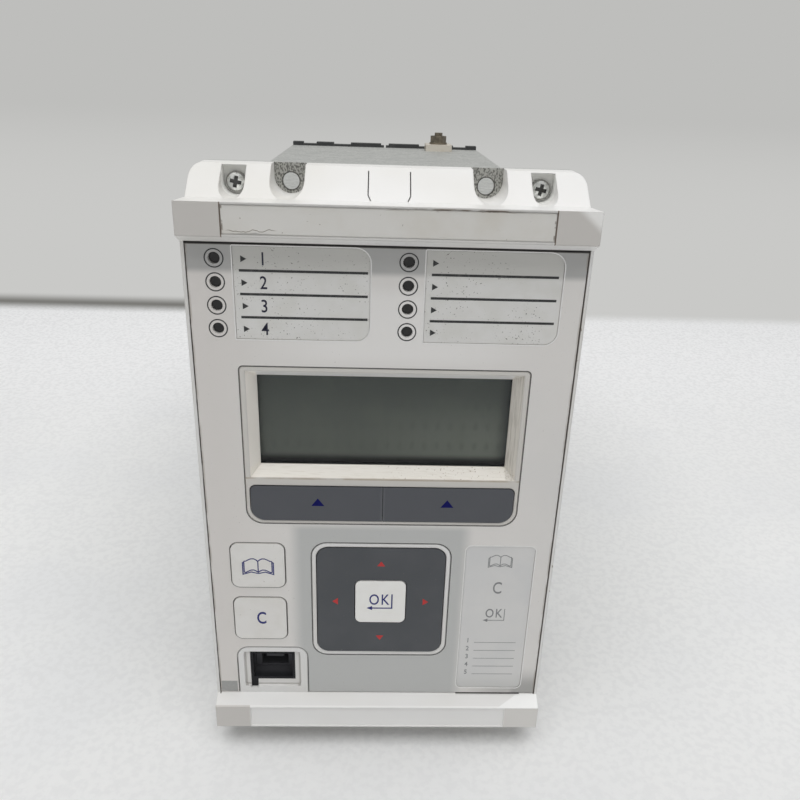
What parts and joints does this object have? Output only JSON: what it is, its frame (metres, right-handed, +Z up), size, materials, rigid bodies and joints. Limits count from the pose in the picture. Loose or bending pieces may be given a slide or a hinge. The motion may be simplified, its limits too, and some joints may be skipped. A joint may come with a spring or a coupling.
{
  "type": "protection relay",
  "caption": "Flush-mounting protection relay with display, keypad, four-way pad, indicator lights and data socket, in a deep sheet-metal case with rear terminal blocks.",
  "frame": {"origin": "centre of the four panel-fixing holes, on the rear face of the case lips that seats on the panel", "axes": "+X to the right seen from the front, +Y back through the panel into the case, +Z up; the front faces -Y"},
  "size_m": [0.1024, 0.2449, 0.1774],
  "materials": {
    "galvanised_sheet": "satin",
    "zinc_bright": "satin",
    "bronze_plate": "satin",
    "terminal_black": "matte",
    "tab_brass": "satin",
    "white_moulding": "semi-gloss",
    "overlay_film": "semi-gloss",
    "window_clear": "gloss",
    "lcd_metal": "satin",
    "lcd_glass": "gloss",
    "diffuser": "matte",
    "dark_key": "satin",
    "light_key": "semi-gloss",
    "ring_rubber": "matte",
    "light_pipe": "gloss",
    "card_white": "satin",
    "label_white": "satin",
    "socket_metal": "satin",
    "socket_black": "matte",
    "board_green": "satin",
    "cradle_sheet": "satin",
    "guide_nylon": "matte",
    "coil_tape": "satin",
    "can_sleeve": "gloss",
    "core_steel": "satin",
    "copper_wire": "gloss",
    "ribbon_grey": "matte"
  },
  "bodies": {
    "relay": {"case_tray": "galvanised_sheet", "case_lid": "galvanised_sheet", "case_rivets": "galvanised_sheet", "rear_plate": "galvanised_sheet", "terminal_block_left": "terminal_black", "terminal_block_right": "terminal_black", "terminal_tabs": "tab_brass", "terminal_screws": "zinc_bright", "block_screws": "zinc_bright", "earth_tab": "zinc_bright", "earth_stud": "bronze_plate", "earth_nut": "bronze_plate", "front_moulding": "white_moulding", "overlay": "overlay_film", "display_window": "window_clear", "lcd_frame": "lcd_metal", "lcd_panel": "lcd_glass", "lcd_diffuser": "diffuser", "led_lenses": "light_pipe", "led_card_left": "card_white", "led_card_right": "card_white", "info_card": "card_white", "rating_label": "label_white", "usb_bezel": "socket_black", "usb_shell": "socket_metal", "usb_insert": "socket_black", "front_board": "board_green", "key_switches": "socket_black", "board_screws": "zinc_bright", "retaining_screws": "zinc_bright", "cradle_base": "cradle_sheet", "cradle_top": "cradle_sheet", "card_guides": "guide_nylon", "main_board": "board_green", "power_board": "board_green", "io_board": "board_green", "main_chips": "socket_black", "power_transformer": "coil_tape", "capacitors": "can_sleeve", "heat_sink": "cradle_sheet", "output_relays": "socket_black", "ct_cores": "core_steel", "ct_windings": "copper_wire", "board_connectors": "terminal_black", "ribbon_headers": "terminal_black", "ribbon_cable": "ribbon_grey"},
    "hot_key_left": {"hot_key_left": "dark_key"},
    "hot_key_right": {"hot_key_right": "dark_key"},
    "read_key": {"read_key": "light_key"},
    "clear_key": {"clear_key": "light_key"},
    "ok_key": {"ok_key": "light_key"},
    "nav_pad": {"nav_pad": "dark_key"},
    "nav_ring": {"nav_ring": "ring_rubber"}
  },
  "joints": [
    {"name": "hot_key_left_press", "type": "slide", "parent": "relay", "child": "hot_key_left", "axis": [0, 1, 0], "range_m": [0, 0.0005], "stiffness_N_per_m": 2000},
    {"name": "hot_key_right_press", "type": "slide", "parent": "relay", "child": "hot_key_right", "axis": [0, 1, 0], "range_m": [0, 0.0005], "stiffness_N_per_m": 2000},
    {"name": "read_key_press", "type": "slide", "parent": "relay", "child": "read_key", "axis": [0, 1, 0], "range_m": [0, 0.0005], "stiffness_N_per_m": 2000},
    {"name": "clear_key_press", "type": "slide", "parent": "relay", "child": "clear_key", "axis": [0, 1, 0], "range_m": [0, 0.0005], "stiffness_N_per_m": 2000},
    {"name": "ok_key_press", "type": "slide", "parent": "relay", "child": "ok_key", "axis": [0, 1, 0], "range_m": [0, 0.0005], "stiffness_N_per_m": 2000},
    {"name": "nav_rock_up_down", "type": "hinge", "parent": "relay", "child": "nav_ring", "pos_m": [0, -0.0181, -0.03565], "axis": [1, 0, 0], "range_deg": [-1, 1], "stiffness_Nm_per_rad": 1},
    {"name": "nav_rock_left_right", "type": "hinge", "parent": "nav_ring", "child": "nav_pad", "pos_m": [0, -0.01854, -0.03565], "axis": [0, 0, 1], "range_deg": [-1, 1], "stiffness_Nm_per_rad": 1}
  ]
}
